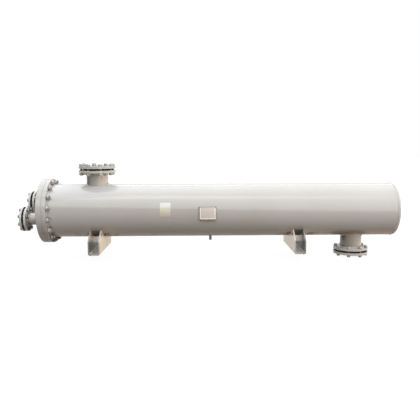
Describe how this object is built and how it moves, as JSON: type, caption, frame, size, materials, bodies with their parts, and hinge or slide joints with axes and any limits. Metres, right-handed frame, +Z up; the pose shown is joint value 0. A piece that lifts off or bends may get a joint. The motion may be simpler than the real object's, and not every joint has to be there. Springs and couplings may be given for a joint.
{
  "type": "shell and tube heat exchanger",
  "caption": "Horizontal shell and tube heat exchanger with a flat bolted channel cover, flanged nozzles and two saddles.",
  "frame": {"origin": "centre of the underside of the left, fixed saddle", "axes": "+X along the vessel from the channel end to the flat closed end, +Z up, -Y towards the nameplate side"},
  "size_m": [2.8345, 0.49, 0.692],
  "materials": {
    "grey_enamel": "gloss",
    "saddle_enamel": "gloss",
    "gasket_sheet": "matte",
    "tube_steel": "satin"
  },
  "bodies": {
    "root": {"shell": "grey_enamel", "rear_end_plate": "grey_enamel", "tube_sheet": "grey_enamel", "channel_cover": "grey_enamel", "cover_gasket": "gasket_sheet", "tube_bundle": "tube_steel", "top_nozzle_neck": "grey_enamel", "top_nozzle_flange": "grey_enamel", "top_nozzle_gasket": "gasket_sheet", "top_nozzle_companion_flange": "grey_enamel", "bottom_nozzle_neck": "grey_enamel", "bottom_nozzle_flange": "grey_enamel", "bottom_nozzle_gasket": "gasket_sheet", "bottom_nozzle_companion_flange": "grey_enamel", "upper_tube_nozzle_neck": "grey_enamel", "upper_tube_nozzle_flange": "grey_enamel", "upper_tube_nozzle_gasket": "gasket_sheet", "upper_tube_nozzle_companion_flange": "grey_enamel", "lower_tube_nozzle_neck": "grey_enamel", "lower_tube_nozzle_flange": "grey_enamel", "lower_tube_nozzle_gasket": "gasket_sheet", "lower_tube_nozzle_companion_flange": "grey_enamel", "left_saddle": "saddle_enamel", "right_saddle": "saddle_enamel", "drain_stub": "saddle_enamel", "nameplate_bracket": "saddle_enamel"}
  },
  "joints": []
}
